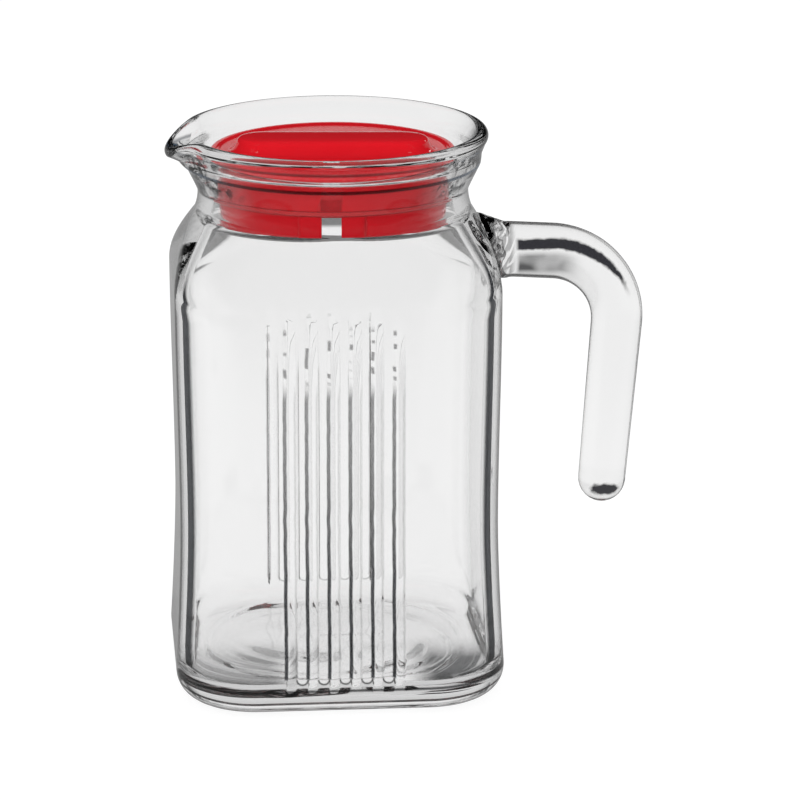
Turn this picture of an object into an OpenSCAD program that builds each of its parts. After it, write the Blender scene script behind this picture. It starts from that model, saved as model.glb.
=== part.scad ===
// Cold water pitcher: a square blown glass jug with a round neck, a flared
// pouring lip, reeded front and back panels and an open glass handle, closed
// by a red plug lid. Millimetres. The origin is the middle of the underside,
// +Z is up, the spout points to -X, the handle to +X and the front is -Y.

/* [Body] */
// Width over the flat sides at the base
base_w = 104.5; // [94:0.5:112]
// How far each side is set in from the base at the waist
waist_in = 2.5; // [0.5:0.1:5]
// How far each side is set in from the base under the shoulder
shoulder_in = 1.6; // [0.2:0.1:4]
// Height of the waist over the table
waist_h = 55; // [35:1:110]
// Height where the flat sides end
side_h = 129; // [115:1:150]
// Radius of the upright corners
corner_r = 26; // [18:0.5:30]
// Thickness of the side walls
wall_t = 2.6; // [2:0.1:4.5]
// Thickness of the floor
floor_t = 8; // [5:0.5:14]
// Rounding round the outside of the foot
foot_r = 8.9; // [3:0.1:12]
// Rounding between floor and wall, inside
floor_r = 5; // [2:0.5:9]

/* [Shoulder and neck] */
// Rise of the shoulder from the flat sides to the neck
shoulder_rise = 21.5; // [14:0.5:28]
// Bore of the neck, as a radius
bore_r = 36.4; // [33:0.1:38]
// Thickness of the glass where the shoulder ends
neck_foot_t = 4.4; // [3.5:0.1:6]
// How much wider than the bore the inside is where the shoulder ends
neck_flare = 2.5; // [1:0.1:4]
// Thickness of the glass at the narrowest part of the neck
neck_t = 5.8; // [4.5:0.1:7]
// Rise from the end of the shoulder to the narrowest part
waist_rise = 6; // [3:0.1:8]
// Rise from the narrowest part of the neck to the crease under the lip
collar_rise = 8.5; // [6:0.5:14]
// Thickness of the glass at the crease
crease_t = 9.5; // [8:0.1:11]
// Length of the straight bore below the crease
bore_len = 9; // [8.5:0.1:12]

/* [Lip and spout] */
// Rise from the crease to the ledge that carries the lid
ledge_rise = 1.8; // [1:0.1:3]
// Width of the ledge round the bore
ledge_w = 2.8; // [2.4:0.1:3.6]
// Height of the lip over the ledge
lip_h = 9; // [7:0.5:14]
// Radius of the rounded bead round the rim
bead_r = 2.2; // [1.5:0.1:2.8]
// Rise of the upright band over the crease
band_rise = 3.6; // [2:0.1:4.5]
// How far the upright band stands out past the crease
band_out = 0.5; // [0.2:0.1:1]
// How far the middle of the bead stands out past the crease
bead_out = 0.3; // [0:0.1:1.6]
// How far the spout reaches out past the rim
spout_reach = 3.9; // [1:0.1:5]
// How far the spout dips below the rim
spout_drop = 4.2; // [2:0.1:5]
// Half the width of the spout round the rim, in degrees
spout_half_angle = 28; // [18:1:40]
// Depth of the pouring channel that crosses the ledge
channel_depth = 1.2; // [0.4:0.1:1.5]

/* [Reeds] */
// Number of upright reeds on a panel
reed_count = 6; // [2:1:7]
// Spacing of the reeds
reed_pitch = 6.7; // [5:0.1:7.5]
// Width of a reed
reed_w = 3.5; // [2:0.1:4.5]
// How far a reed stands out from the wall
reed_out = 1.2; // [0.5:0.1:2]
// Height of the lower ends of the reeds over the table
reed_low = 10; // [9:0.5:20]
// Distance of the upper ends on the front below the top of the flat sides
front_reed_drop = 1; // [0.5:0.5:60]
// Distance of the upper ends on the back below the top of the flat sides
back_reed_drop = 23; // [0.5:0.5:60]
// Length over which a reed fades out at its upper end
reed_fade = 22; // [8:1:40]

/* [Handle] */
// Height of the arm's middle over the top of the flat sides
arm_rise = 6.7; // [0:0.1:9]
// Height of the arm's section
arm_t = 17.6; // [12:0.1:20]
// Width of the arm's section, across the handle
arm_w = 16; // [12:0.5:20]
// Thickness of the grip, away from the body
grip_t = 16.2; // [11:0.1:18]
// Width of the grip, across the handle
grip_w = 15.6; // [11:0.5:18]
// Thickness and width at the free end, before it rounds off
tip_d = 15; // [10:0.1:16]
// Gap for the fingers between the body and the grip
finger_gap = 30.9; // [25:0.1:45]
// Radius of the bend along the middle of the handle
bend_r = 22; // [18:0.5:26]
// How far the arm slopes down from the body, in degrees
arm_lean = 3.5; // [0:0.5:8]
// How far the grip leans towards the body, in degrees
grip_lean = 4.5; // [0:0.5:6]
// Drop from the arm's middle to the free end
grip_drop = 83.3; // [60:0.1:110]
// Length of the fused root between the body and the arm
root_len = 5.8; // [4:0.1:9]
// Height of the root where it spreads on the body
root_t = 21; // [18:0.5:26]
// Width of the root where it spreads on the body
root_w = 21; // [18:0.5:28]

/* [Lid] */
// How far the lid is turned from square as it sits, in degrees
lid_turn = -4.5; // [-45:0.5:45]
// Clearance between the flange and the ledge that it rests on
seat_fit = 0.02; // [0.01:0.01:0.05]
// Gap between the flange's edge and the glass outside the ledge
flange_gap = 1; // [0.4:0.1:1.2]
// Thickness of the flange and the top panel
flange_t = 1.6; // [1.2:0.1:2.4]
// Width of the raised border on the flange
border_w = 2.2; // [1:0.1:3]
// Height of the raised border on the flange
border_h = 0.7; // [0.3:0.1:1.5]
// Length of the grip across the lid
lid_grip_len = 66; // [40:1:70]
// Width of the grip
lid_grip_w = 23; // [14:0.5:30]
// Height of the grip over the flange
lid_grip_h = 4.8; // [3:0.1:8]
// How far the sides of the grip lean in
lid_grip_draft = 3; // [1:0.1:4]
// Rounding of the grip's upper edge
lid_grip_round = 2; // [1:0.1:2.5]
// Thickness of the lid's walls
lid_wall = 1.6; // [1.2:0.1:2]
// Length of the plug below the flange
plug_len = 17.5; // [15:0.5:26]
// Gap between the plug's band and the bore
band_gap = 1.1; // [0.8:0.1:1.6]
// How far the skirt below the ring is set in from the band
skirt_set_in = 0.7; // [0.3:0.1:1.2]
// Width of the pouring slot
slot_w = 5.8; // [4.5:0.1:9]
// Width of the raised leg on each side of the slot
leg_w = 7; // [3:0.5:10]
// How far the legs stand out from the skirt
leg_out = 0.6; // [0.2:0.1:1]
// Height of the recess above the slot
recess_h = 4.2; // [2:0.1:5]
// Depth of the recess above the slot
recess_depth = 0.9; // [0.4:0.1:1.2]

/* [Sealing ring] */
// Distance of the ring below the flange
ring_drop = 7.6; // [6:0.1:8]
// Height of the ring
ring_h = 2; // [1.2:0.1:2.4]
// Depth of the groove that holds the ring
groove_depth = 1.5; // [1:0.1:1.8]
// Running clearance of the ring in the bore and on the groove
ring_fit = 0.05; // [0.02:0.01:0.08]

/* [Hidden] */

// Numbers of steps, and exponents that set how the curves swell
around = 80;
wall_steps = 10;
shoulder_steps = 10;
fillet_steps = 5;
flare_power = 1.5;
shoulder_power = 1.8;
corner_power = 1.3;
handle_sides = 20;
bend_steps = 12;
grip_steps = 4;
root_steps = 4;
lid_grip_sides = 40;
round_steps = 4;
reed_steps = 6;
$fn = 96;

// Widths over the flat sides at the waist and under the shoulder
waist_w = base_w - 2 * waist_in;
shoulder_w = base_w - 2 * shoulder_in;

// Heights, from the table up
neck_foot_z = side_h + shoulder_rise;
neck_z = neck_foot_z + waist_rise;
crease_z = neck_z + collar_rise;
ledge_z = crease_z + ledge_rise;
rim_z = ledge_z + lip_h;
bore_z = crease_z - bore_len;

// Radii of the neck and the lip
neck_foot_in = bore_r + neck_flare;
neck_foot_out = neck_foot_in + neck_foot_t;
neck_r = bore_r + neck_t;
crease_r = bore_r + crease_t;
ledge_r = bore_r + ledge_w;
bead_ring_r = crease_r + bead_out;
// A ring of flats touches the true circle at the middle of each flat
flat_scale = 1 / cos(180 / around);

// Half width and corner radius of the outside at a height on the flat sides
function side_flare(z) = z < waist_h
    ? (base_w - waist_w) / 2 * pow((waist_h - z) / waist_h, flare_power)
    : (shoulder_w - waist_w) / 2 * pow((z - waist_h) / (side_h - waist_h), flare_power);
function foot_tuck(z) = z < foot_r ? foot_r - sqrt(pow(foot_r, 2) - pow(foot_r - z, 2)) : 0;
function side_half(z) = waist_w / 2 + side_flare(z) - foot_tuck(z);

// The same on the shoulder, which turns the rounded square into a circle
function shoulder_half(u) = shoulder_w / 2
    - (shoulder_w / 2 - neck_foot_out) * pow(u, shoulder_power);
function shoulder_corner(u) = corner_r + (shoulder_half(u) - corner_r) * pow(u, corner_power);
function shoulder_t(u) = wall_t + (neck_foot_t - wall_t) * u;

// Distance from the axis to a rounded square of half width w and corner radius c
function square_reach(a, w, c) =
    let (big = max(abs(cos(a)), abs(sin(a))), small = min(abs(cos(a)), abs(sin(a))), k = w - c)
    w * small <= k * big
        ? w / big
        : k * (big + small) + sqrt(max(0, pow(c, 2) - pow(k * (big - small), 2)));
function square_ring(w, c, z) = [for (i = [0 : around - 1])
    let (a = 360 * i / around, r = square_reach(a, w, c)) [r * cos(a), r * sin(a), z]];

// Faces of a stack of equal rings, and of the two ends that close it
function ring_faces(rings, n, first = 0, turned = false) = [
    for (j = [0 : rings - 2], i = [0 : n - 1])
        let (a = first + j * n + i, b = first + j * n + (i + 1) % n)
        for (side = [0, 1])
            let (face = side == 0 ? [a, a + n, b + n] : [a, b + n, b])
            turned ? [face[2], face[1], face[0]] : face];
function flat_points(rings) = [for (ring = rings, p = ring) p];

// A solid lofted through convex rings that go up, with a fan of faces over each end
function ring_middle(ring) = [for (k = [0 : 2]) [for (p = ring) p[k]] * [for (p = ring) 1] / len(ring)];
module solid_loft(rings) {
    n = len(rings[0]);
    count = len(rings);
    last = (count - 1) * n;
    low_end = [for (i = [0 : n - 1]) [i, (i + 1) % n, count * n]];
    high_end = [for (i = [0 : n - 1]) [last + (i + 1) % n, last + i, count * n + 1]];
    polyhedron(
        concat(flat_points(rings), [ring_middle(rings[0]), ring_middle(rings[count - 1])]),
        concat(ring_faces(count, n), low_end, high_end));
}

// A tube between outer and inner rings that both go up
module shell_loft(outer, inner) {
    n = len(outer[0]);
    start = len(outer) * n;
    last_out = start - n;
    last_in = start + (len(inner) - 1) * n;
    low_end = [for (i = [0 : n - 1], side = [0, 1])
        let (j = (i + 1) % n) side == 0 ? [i, j, start + j] : [i, start + j, start + i]];
    high_end = [for (i = [0 : n - 1], side = [0, 1])
        let (j = (i + 1) % n)
        side == 0
            ? [last_out + i, last_in + j, last_out + j]
            : [last_out + i, last_in + i, last_in + j]];
    polyhedron(
        concat(flat_points(outer), flat_points(inner)),
        concat(ring_faces(len(outer), n), ring_faces(len(inner), n, start, true), low_end, high_end));
}

// Rings of the body's outside and inside
base_heights = [for (i = [0 : fillet_steps]) floor_t * (1 - cos(90 * i / fillet_steps))];
wall_heights = [for (i = [0 : wall_steps]) floor_t + (side_h - floor_t) * i / wall_steps];
fillet_angles = [for (i = [0 : fillet_steps]) 90 * i / fillet_steps];
wall_rings = [for (z = wall_heights) square_ring(side_half(z), corner_r, z)];
shoulder_shares = [for (i = [0 : shoulder_steps]) i / shoulder_steps];
shoulder_rings = [for (u = shoulder_shares)
    square_ring(shoulder_half(u), shoulder_corner(u), side_h + shoulder_rise * u)];
function inner_ring(z, inset) = square_ring(side_half(z) - wall_t - inset,
    max(corner_r - wall_t - inset, floor_r), z);

module jug_base() color("lightcyan") {
    solid_loft([for (z = base_heights) square_ring(side_half(z), corner_r - foot_tuck(z), z)]);
}

module jug_wall() color("azure") {
    floor_rings = [for (a = fillet_angles)
        inner_ring(floor_t + floor_r * (1 - cos(a)), floor_r * (1 - sin(a)))];
    side_rings = [for (z = wall_heights) if (z > floor_t + floor_r) inner_ring(z, 0)];
    shell_loft(wall_rings, concat(floor_rings, side_rings));
}

module jug_shoulder() color("lightcyan") {
    inside = [for (u = shoulder_shares)
        let (t = shoulder_t(u))
        square_ring(shoulder_half(u) - t, shoulder_corner(u) - t, side_h + shoulder_rise * u)];
    shell_loft(shoulder_rings, inside);
}

module jug_neck() color("azure") {
    rotate_extrude() polygon([
        [neck_foot_in, neck_foot_z],
        [neck_foot_out, neck_foot_z],
        [(neck_foot_out + 3 * neck_r) / 4, (neck_foot_z + neck_z) / 2],
        [neck_r, neck_z],
        [(5 * neck_r + crease_r) / 6, (3 * neck_z + crease_z) / 4],
        [crease_r, crease_z],
        [bore_r, crease_z],
        [bore_r, bore_z]]);
}

// How much of the spout there is at an angle from the spout's middle
function spout_share(a) = abs(a) < spout_half_angle ? pow(cos(90 * a / spout_half_angle), 2) : 0;

// The lip's section at an angle, from the crease up over the bead and down to the bore
bead_angles = [-40, -10, 20, 50, 80, 110, 140, 170];
function lip_section(s) =
    let (
        bead_x = bead_ring_r + spout_reach * s,
        bead_z = rim_z - bead_r - spout_drop * s,
        inside_r = bore_r * flat_scale,
        dip = channel_depth * s)
    concat(
        [[crease_r, crease_z]],
        [[crease_r + band_out + spout_reach * s / 2, crease_z + band_rise * (1 - s / 2)]],
        [for (a = bead_angles) [bead_x + bead_r * cos(a), bead_z + bead_r * sin(a)]],
        [[ledge_r + (bead_x - bead_r - ledge_r) / 3, ledge_z + (bead_z - ledge_z) / 4 - dip / 2]],
        [[ledge_r, ledge_z - dip], [inside_r, ledge_z - dip], [inside_r, crease_z]]);

module jug_lip() color("lightcyan") {
    sections = [for (i = [0 : around - 1])
        let (a = 360 * i / around, s = spout_share(a - 180))
        [for (p = lip_section(s)) [p[0] * cos(a), p[0] * sin(a), p[1]]]];
    n = len(sections[0]);
    faces = [for (i = [0 : around - 1], j = [0 : n - 1], side = [0, 1])
        let (a = i * n, b = (i + 1) % around * n, k = (j + 1) % n)
        side == 0 ? [a + j, b + k, b + j] : [a + j, a + k, b + k]];
    polyhedron(flat_points(sections), faces);
}

// Half width of the body's outside, straight between the wall's rings
side_table = [for (z = wall_heights) [z, side_half(z)]];
function reed_ring(x, z, half_w, out) = [for (i = [0 : reed_steps])
    let (a = 180 * i / reed_steps)
    [x + half_w * cos(a), -(lookup(z, side_table) + out * sin(a)), z]];

// One reed: a round lower end, a long straight run and an upper end that fades out
module reed(x, top) {
    half = reed_w / 2;
    fade_z = top - reed_fade;
    end_z = reed_low + half;
    low_rings = [for (a = [15, 40, 65])
        reed_ring(x, end_z - half * cos(a), half * sin(a), reed_out * sin(a))];
    middle = [for (z = wall_heights) if (z > end_z && z < fade_z) reed_ring(x, z, half, reed_out)];
    fading = [for (z = wall_heights)
        if (z > fade_z && z < top)
            let (left = (top - z) / reed_fade) reed_ring(x, z, half * (3 + left) / 4, reed_out * left)];
    top_ring = [reed_ring(x, top, half / 2, reed_out / 20)];
    solid_loft(concat(low_rings, [reed_ring(x, end_z, half, reed_out)], middle,
        [reed_ring(x, fade_z, half, reed_out)], fading, top_ring));
}

module reed_panel(top) {
    for (i = [0 : reed_count - 1]) reed((i - (reed_count - 1) / 2) * reed_pitch, top);
}

module front_reeds() color("white") reed_panel(side_h - front_reed_drop);

module back_reeds() color("white") mirror([0, 1, 0]) reed_panel(side_h - back_reed_drop);

// The handle's middle line, in the XZ plane
arm_z = side_h + arm_rise;
body_x = shoulder_w / 2;
arm_x = body_x + root_len;
grip_x = body_x + finger_gap + grip_t / 2;
bend_x = grip_x - bend_r;
bend_z = arm_z - (bend_x + bend_r * sin(arm_lean) - arm_x) * tan(arm_lean)
    - bend_r * cos(arm_lean);
bend_angle = 90 + grip_lean;
bend_end = [bend_x + bend_r * sin(bend_angle), bend_z + bend_r * cos(bend_angle)];
tip_z = arm_z - grip_drop;
tip_r = tip_d / 2;
straight_len = (bend_end[1] - tip_z - tip_r) / cos(grip_lean);

// A ring across the handle: middle, turn, thickness in the plane and width across it
function handle_ring(x, z, turn, t, w) = [for (i = [0 : handle_sides - 1])
    let (a = 360 * i / handle_sides, d = t / 2 * sin(a))
    [x + d * sin(turn), w / 2 * cos(a), z + d * cos(turn)]];
function mix(a, b, share) = a + (b - a) * share;
function along_grip(d) = [bend_end[0] - d * sin(grip_lean), bend_end[1] - d * cos(grip_lean)];

module handle() color("azure") {
    arm = [handle_ring(arm_x, arm_z, arm_lean, arm_t, arm_w)];
    bend = [for (i = [0 : bend_steps])
        let (share = i / bend_steps, a = mix(arm_lean, bend_angle, share))
        handle_ring(bend_x + bend_r * sin(a), bend_z + bend_r * cos(a), a,
            mix(arm_t, grip_t, share), mix(arm_w, grip_w, share))];
    grip = [for (i = [1 : grip_steps])
        let (share = i / grip_steps, p = along_grip(straight_len * share))
        handle_ring(p[0], p[1], bend_angle, mix(grip_t, tip_d, share), mix(grip_w, tip_d, share))];
    tip = [for (a = [25, 50, 75])
        let (p = along_grip(straight_len + tip_r * sin(a)))
        handle_ring(p[0], p[1], bend_angle, tip_d * cos(a), tip_d * cos(a))];
    solid_loft(concat(arm, bend, grip, tip));
}

// The fused root spreads on the shoulder and the side
module handle_root() color("lightcyan") {
    buried = [handle_ring(body_x - root_t / 2, arm_z, 0, root_t, root_w)];
    spread = [for (i = [0 : root_steps])
        let (share = i / root_steps, left = pow(1 - share, 2))
        handle_ring(mix(body_x, arm_x, share), arm_z, arm_lean * share,
            mix(arm_t, root_t, left), mix(arm_w, root_w, left))];
    difference() {
        solid_loft(concat(buried, spread));
        solid_loft(concat([for (i = [wall_steps - 3 : wall_steps - 1]) wall_rings[i]], shoulder_rings));
    }
}

// Radii and heights of the lid, which hangs from its flange in the neck
seat_z = ledge_z + seat_fit;
flange_r = ledge_r - flange_gap;
band_r = bore_r - band_gap;
skirt_r = band_r - skirt_set_in;
groove_r = band_r - groove_depth;
plug_in = groove_r - lid_wall;
plug_z = seat_z - plug_len;
ring_top = seat_z - ring_drop;
ring_low = ring_top - ring_h;
flange_z = seat_z + flange_t;

module sealing_ring() color("firebrick") {
    outer = bore_r - ring_fit;
    inner = groove_r + ring_fit;
    round_x = (outer - inner) / 4;
    round_z = ring_h / 4;
    rotate_extrude() polygon([
        [inner, ring_low + ring_fit],
        [outer - round_x, ring_low + ring_fit],
        [outer, ring_low + round_z],
        [outer, ring_top - round_z],
        [outer - round_x, ring_top - ring_fit],
        [inner, ring_top - ring_fit]]);
}

module lid_plug() color("crimson") rotate([0, 0, lid_turn]) {
    overrun = lid_wall;
    deep = band_r - plug_in + 2 * overrun;
    difference() {
        union() {
            rotate_extrude() polygon([
                [plug_in, plug_z],
                [skirt_r, plug_z],
                [skirt_r, ring_low],
                [groove_r, ring_low],
                [groove_r, ring_top],
                [band_r, ring_top],
                [band_r, seat_z],
                [plug_in, seat_z]]);
            intersection() {
                rotate_extrude() polygon([
                    [groove_r, plug_z],
                    [skirt_r + leg_out, plug_z],
                    [skirt_r + leg_out, ring_low],
                    [groove_r, ring_low]]);
                translate([-slot_w / 2 - leg_w, -skirt_r - deep, plug_z])
                    cube([slot_w + 2 * leg_w, deep + leg_w, ring_low - plug_z]);
            }
        }
        translate([-slot_w / 2, -band_r - overrun, plug_z - overrun])
            cube([slot_w, deep, ring_low - plug_z + overrun]);
        translate([-slot_w / 2, -band_r - overrun, ring_top])
            cube([slot_w, overrun + recess_depth, recess_h]);
    }
}

// Outline of the grip seen from above, with round ends
module grip_outline(grow) {
    r = lid_grip_w / 2 + grow;
    hull() for (side = [-1, 1]) translate([side * (lid_grip_len - lid_grip_w) / 2, 0]) circle(r);
}

module lid_top() color("red") rotate([0, 0, lid_turn]) {
    difference() {
        rotate_extrude() polygon([
            [0, seat_z],
            [flange_r, seat_z],
            [flange_r, flange_z + border_h],
            [flange_r - border_w, flange_z + border_h],
            [flange_r - border_w - border_h, flange_z],
            [0, flange_z]]);
        translate([0, 0, seat_z - flange_t])
            linear_extrude(3 * flange_t) grip_outline(-lid_wall);
    }
}

// One layer of the rounded grip, as a stadium ring that the sides lean into
function grip_ring(inset, z) = [for (i = [0 : lid_grip_sides - 1])
    let (a = 360 * (i + 1 / 2) / lid_grip_sides, r = lid_grip_w / 2 - inset, side = sign(cos(a)))
    [side * (lid_grip_len - lid_grip_w) / 2 + r * cos(a), r * sin(a), z]];
function grip_rings(shrink, low, high) = concat(
    [grip_ring(shrink, low)],
    [for (i = [0 : round_steps])
        let (a = 90 * i / round_steps)
        grip_ring(shrink + lid_grip_draft + lid_grip_round * (1 - cos(a)),
            high - lid_grip_round * (1 - sin(a)))]);

module lid_grip() color("red") rotate([0, 0, lid_turn]) {
    top_z = flange_z + lid_grip_h;
    difference() {
        solid_loft(grip_rings(0, flange_z, top_z));
        solid_loft(grip_rings(lid_wall, flange_z - flange_t, top_z - lid_wall));
    }
}

jug_base();
jug_wall();
jug_shoulder();
jug_neck();
jug_lip();
front_reeds();
back_reeds();
handle_root();
handle();
sealing_ring();
lid_top();
lid_grip();
lid_plug();
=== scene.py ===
"""Looks of a cold water pitcher: a square blown glass jug with reeded panels,
an open glass handle fused to its shoulder, and a red plug lid with its ring."""

import bpy
import numpy as np
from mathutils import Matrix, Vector


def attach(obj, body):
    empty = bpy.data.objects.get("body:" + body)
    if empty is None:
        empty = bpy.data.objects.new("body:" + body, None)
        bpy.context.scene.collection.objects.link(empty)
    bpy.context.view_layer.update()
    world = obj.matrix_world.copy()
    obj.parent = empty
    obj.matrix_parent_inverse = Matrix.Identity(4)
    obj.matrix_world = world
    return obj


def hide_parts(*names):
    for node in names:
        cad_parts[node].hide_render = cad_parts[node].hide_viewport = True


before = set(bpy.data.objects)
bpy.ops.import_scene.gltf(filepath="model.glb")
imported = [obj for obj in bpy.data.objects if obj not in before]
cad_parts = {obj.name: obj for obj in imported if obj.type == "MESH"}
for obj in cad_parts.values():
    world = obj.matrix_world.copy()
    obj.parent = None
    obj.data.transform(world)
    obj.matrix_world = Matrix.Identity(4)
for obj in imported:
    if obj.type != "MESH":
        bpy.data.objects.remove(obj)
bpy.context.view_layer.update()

MM = 0.001

# Sizes of the glass, in millimetres, as in the part's source
BASE_W = 104.5
WAIST_W = 99.5
SHOULDER_W = 101.3
WAIST_H = 55.0
SIDE_H = 129.0
CORNER_R = 26.0
WALL_T = 2.6
FLOOR_T = 8.0
FOOT_R = 8.9
FLOOR_R = 5.0
SHOULDER_RISE = 21.5
SHOULDER_POWER = 1.8
CORNER_POWER = 1.3
BORE_R = 36.4
NECK_FOOT_T = 4.4
NECK_FLARE = 2.5
NECK_T = 5.8
NECK_Z = 156.5
CREASE_R = BORE_R + 9.5
CREASE_Z = 165.0
LEDGE_Z = 166.8
LEDGE_R = 39.2
RIM_Z = 175.8
BEAD_R = 2.2
BEAD_RING_R = CREASE_R + 0.3
BAND_RISE = 3.6
BAND_OUT = 0.5
SPOUT_REACH = 3.9
SPOUT_DROP = 4.2
SPOUT_HALF_ANGLE = 28.0
CHANNEL_DEPTH = 1.2
THROAT_FLARE = 1.15
FOOT_LINE_Z = 8.7

# Reeds on the front and back panels
REED_COUNT = 6
REED_PITCH = 6.7
REED_W = 3.5
REED_OUT = 1.2
REED_LOW = 10.0
FRONT_REED_TOP = 128.0
BACK_REED_TOP = 106.0
REED_FADE = 22.0
REED_BEAD = 5.4
REED_BEAD_DEPTH = 0.35
REED_STEEPNESS = 0.62
REED_ROUNDNESS = 0.75
PANEL_HALF = REED_COUNT * REED_PITCH / 2

# The handle's middle line and its sections; the fused root is thicker and crumpled
ARM_Z = 135.7
ARM_T = 17.6
ARM_W = 16.0
GRIP_T = 16.2
GRIP_W = 15.6
TIP_D = 15.0
ARM_X = 56.45
BEND_R = 22.0
ARM_LEAN = 3.5
GRIP_LEAN = 4.5
BEND_X = SHOULDER_W / 2 + 30.9 + GRIP_T / 2 - BEND_R
TIP_Z = ARM_Z - 83.3
TURN_START = np.radians(ARM_LEAN)
TURN_END = np.radians(90 + GRIP_LEAN)
BEND_Z = (ARM_Z - (BEND_X + BEND_R * np.sin(TURN_START) - ARM_X) * np.tan(TURN_START)
          - BEND_R * np.cos(TURN_START))
TIP_SPOT_X = 85.6
TIP_SPOT_Z = TIP_Z + 5.6
ROOT_X = 46.4
ROOT_RISE = 1.2
ROOT_LEAN = -16.0
ROOT_MORE_T = 6.5
ROOT_MORE_W = 6.0
ROOT_CRUMPLE = 0.02

# The lid and its ring
LID_TURN = -4.5
SEAT_Z = 166.82
FLANGE_R = 38.2
FLANGE_Z = SEAT_Z + 1.6
BORDER_W = 2.2
BORDER_H = 0.7
GRIP_LEN = 66.0
LID_GRIP_W = 23.0
GRIP_TOP_Z = FLANGE_Z + 4.8
GRIP_DRAFT = 3.0
GRIP_CROWN = 0.25
GRIP_EDGE_R = 2.0
BAND_R = 35.3
SKIRT_R = 34.6
GROOVE_R = 33.8
PLUG_IN = 32.2
PLUG_Z = 149.32
RING_LOW = 157.22
RING_TOP = 159.22
RING_FIT = 0.05
SLOT_W = 5.8
LEG_W = 7.0
LEG_OUT = 0.6
RECESS_H = 4.2
RECESS_DEPTH = 0.9


# Meshes

def make_object(name, points, faces):
    """An object at the origin from points in millimetres."""
    mesh = bpy.data.meshes.new(name)
    mesh.from_pydata((np.asarray(points) * MM).tolist(), [], faces)
    mesh.polygons.foreach_set("use_smooth", np.ones(len(mesh.polygons), bool))
    mesh.update()
    piece = bpy.data.objects.new(name, mesh)
    bpy.context.scene.collection.objects.link(piece)
    return piece


def loft(rings):
    """Points and faces of a closed skin through equal rings, with a pole at each end."""
    n = len(rings[0])
    points = np.vstack(rings + [rings[0].mean(axis=0), rings[-1].mean(axis=0)])
    first, last = len(points) - 2, len(points) - 1
    faces = []
    for j in range(len(rings) - 1):
        for i in range(n):
            a, b = j * n + i, j * n + (i + 1) % n
            faces.append((a, b, b + n, a + n))
    top = (len(rings) - 1) * n
    ends = [(first, (i + 1) % n, i) for i in range(n)]
    ends += [(top + i, top + (i + 1) % n, last) for i in range(n)]
    return points, faces + ends


def ring(radius, z, angles):
    """A ring round the axis: radius and height may vary with the angle."""
    x, y = radius * np.cos(angles), radius * np.sin(angles)
    return np.column_stack([x, y, np.broadcast_to(z, angles.shape)])


def curve(knots, steps):
    """A smooth line through knots (Catmull-Rom), with the given number of steps a span."""
    p = np.asarray(knots, float)
    p = np.vstack([2 * p[0] - p[1], p, 2 * p[-1] - p[-2]])
    out = []
    for k in range(1, len(p) - 2):
        for t in np.linspace(0, 1, steps, endpoint=False):
            a = 2 * p[k]
            b = (p[k + 1] - p[k - 1]) * t
            c = (2 * p[k - 1] - 5 * p[k] + 4 * p[k + 1] - p[k + 2]) * t ** 2
            d = (3 * p[k] - p[k - 1] - 3 * p[k + 1] + p[k + 2]) * t ** 3
            out.append((a + b + c + d) / 2)
    out.append(p[-2])
    return np.array(out)


def apply_modifiers(piece):
    """Turn a piece with modifiers into a plain mesh and take the modifiers off."""
    bpy.context.view_layer.update()
    graph = bpy.context.evaluated_depsgraph_get()
    mesh = bpy.data.meshes.new_from_object(piece.evaluated_get(graph))
    piece.modifiers.clear()
    piece.data = mesh
    mesh.polygons.foreach_set("use_smooth", np.ones(len(mesh.polygons), bool))
    mesh.update()


def combine(piece, other, operation):
    """Join or cut a piece with another closed mesh, which is then removed."""
    cut = piece.modifiers.new("combine", "BOOLEAN")
    cut.operation = operation
    cut.solver = "EXACT"
    cut.material_mode = "TRANSFER"
    cut.object = other
    apply_modifiers(piece)
    bpy.data.objects.remove(other)


# Nodes

def linear(code):
    """A linear colour from an sRGB hex value."""
    parts = [int(code[i:i + 2], 16) / 255 for i in (1, 3, 5)]
    return tuple(c / 12.92 if c <= 0.04045 else ((c + 0.055) / 1.055) ** 2.4 for c in parts) + (1.0,)


def node(tree, kind, settings=None, **links):
    """Add a node and give its outputs by name. A link is a value or another node's output;
    a name that ends in __1 or __2 is the second or third input of that name."""
    made = tree.nodes.new(kind)
    for key, value in (settings or {}).items():
        setattr(made, key, value)
    for key, value in links.items():
        name, _, place = key.partition("__")
        name = name.replace("_", " ").lower()
        found = [s for s in made.inputs if s.enabled and s.name.lower() == name]
        socket = found[int(place or 0)]
        if isinstance(value, Signal):
            tree.links.new(value.socket, socket)
        else:
            socket.default_value = value
    return {s.name: Signal(tree, s) for s in made.outputs if s.enabled}


def step(operation, swapped=False):
    """Something that can be done to a signal with one math node."""
    def apply(signal, *others):
        values = others + (signal,) if swapped else (signal,) + others
        links = {f"Value__{k}": value for k, value in enumerate(values)}
        return node(signal.tree, "ShaderNodeMath", {"operation": operation}, **links)["Value"]
    return apply


class Signal:
    """An output in a node tree. Arithmetic on it adds the nodes that work it out."""

    __add__ = __radd__ = step("ADD")
    __sub__ = step("SUBTRACT")
    __rsub__ = step("SUBTRACT", swapped=True)
    __mul__ = __rmul__ = step("MULTIPLY")
    __truediv__ = step("DIVIDE")
    __pow__ = step("POWER")
    __abs__ = step("ABSOLUTE")
    __gt__ = step("GREATER_THAN")
    __lt__ = step("LESS_THAN")
    or_more = step("MAXIMUM")
    or_less = step("MINIMUM")
    angle = step("ARCTAN2")
    root = step("SQRT")
    sine = step("SINE")
    sign = step("SIGN")
    nearest = step("ROUND")
    wrapped = step("WRAP")

    def __init__(self, tree, socket):
        self.tree = tree
        self.socket = socket

    def clamped(self):
        """The same step, held between 0 and 1."""
        self.socket.node.use_clamp = True
        return self


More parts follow.
